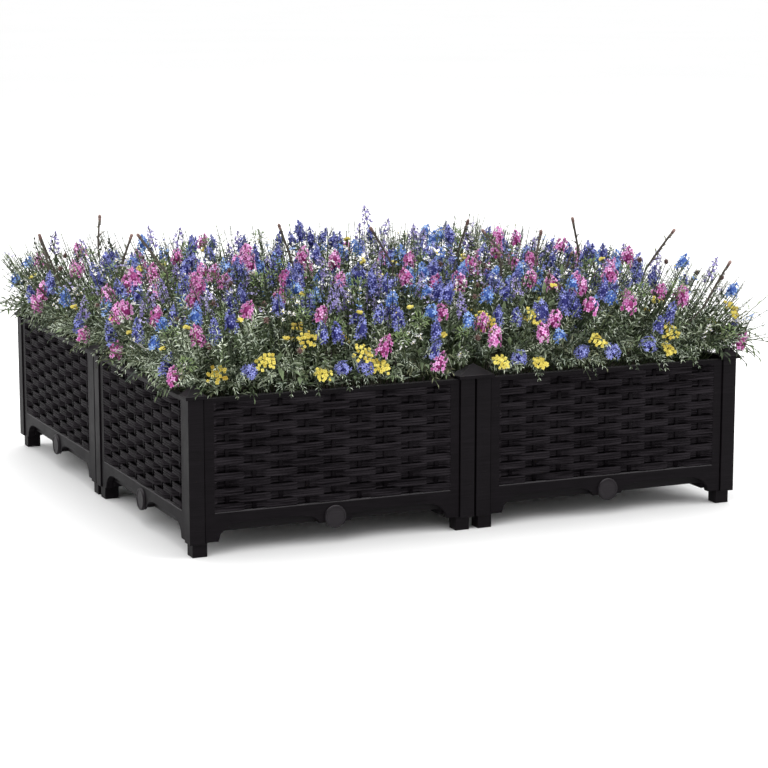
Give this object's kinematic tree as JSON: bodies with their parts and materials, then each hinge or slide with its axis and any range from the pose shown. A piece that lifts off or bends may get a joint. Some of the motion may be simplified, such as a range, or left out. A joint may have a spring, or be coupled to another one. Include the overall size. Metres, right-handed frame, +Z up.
{
  "type": "planted raised planter",
  "caption": "Low square raised bed of black woven-look plastic modules on short feet, filled with soil and a dense mix of blue, pink, violet, white and yellow meadow flowers.",
  "frame": {"origin": "middle of the bed in plan, on the floor under the feet", "axes": "+Z up, the front of the bed towards -Y, +X to the right seen from the front"},
  "size_m": [0.853, 0.8538, 0.3737],
  "materials": {
    "black_plastic": "moulded black plastic, satin, with fine striation and a woven relief on the panels",
    "tray_plastic": "plain black plastic, matte",
    "soil": "dark crumbly potting soil, matte",
    "blue_spikes": "blue-violet florets on grey-green stems and leaves, matte",
    "sky_clusters": "sky-blue florets on grey-green stems and leaves, matte",
    "pink_heads": "pink florets on grey-green stems and leaves, matte",
    "lavender_spikes": "pale lavender florets on grey-green stems and leaves, matte",
    "yarrow": "yellow button clusters on grey-green stems and leaves, matte",
    "white_flowers": "small white flowers on grey-green stems and leaves, matte",
    "bud_twigs": "dark bud spikes over grey-green leaves, matte",
    "feathery_foliage": "grey-green cut leaves, matte"
  },
  "bodies": {
    "root": {"blue_spikes_1": "blue_spikes", "blue_spikes_2": "blue_spikes", "blue_spikes_3": "blue_spikes", "blue_spikes_4": "blue_spikes", "blue_spikes_5": "blue_spikes", "bud_twigs_1": "bud_twigs", "bud_twigs_2": "bud_twigs", "centre_cap": "black_plastic", "centre_post": "black_plastic", "corner_cap_back_left": "black_plastic", "corner_cap_back_right": "black_plastic", "corner_cap_front_left": "black_plastic", "corner_cap_front_right": "black_plastic", "corner_post_back_left": "black_plastic", "corner_post_back_right": "black_plastic", "corner_post_front_left": "black_plastic", "corner_post_front_right": "black_plastic", "divider_back": "tray_plastic", "divider_front": "tray_plastic", "divider_left": "tray_plastic", "divider_right": "tray_plastic", "feathery_foliage_1": "feathery_foliage", "feathery_foliage_2": "feathery_foliage", "lavender_spikes_1": "lavender_spikes", "lavender_spikes_2": "lavender_spikes", "middle_cap_back": "black_plastic", "middle_cap_front": "black_plastic", "middle_cap_left": "black_plastic", "middle_cap_right": "black_plastic", "middle_post_back": "black_plastic", "middle_post_front": "black_plastic", "middle_post_left": "black_plastic", "middle_post_right": "black_plastic", "panel_back_a": "black_plastic", "panel_back_b": "black_plastic", "panel_front_a": "black_plastic", "panel_front_b": "black_plastic", "panel_left_a": "black_plastic", "panel_left_b": "black_plastic", "panel_right_a": "black_plastic", "panel_right_b": "black_plastic", "pink_heads_1": "pink_heads", "pink_heads_2": "pink_heads", "pink_heads_3": "pink_heads", "pink_heads_4": "pink_heads", "sky_clusters_1": "sky_clusters", "sky_clusters_2": "sky_clusters", "soil_back_left": "soil", "soil_back_right": "soil", "soil_front_left": "soil", "soil_front_right": "soil", "tray_back_left": "tray_plastic", "tray_back_right": "tray_plastic", "tray_front_left": "tray_plastic", "tray_front_right": "tray_plastic", "white_flowers_1": "white_flowers", "yarrow_1": "yarrow", "yarrow_2": "yarrow", "yarrow_3": "yarrow", "yarrow_4": "yarrow"}
  },
  "joints": []
}
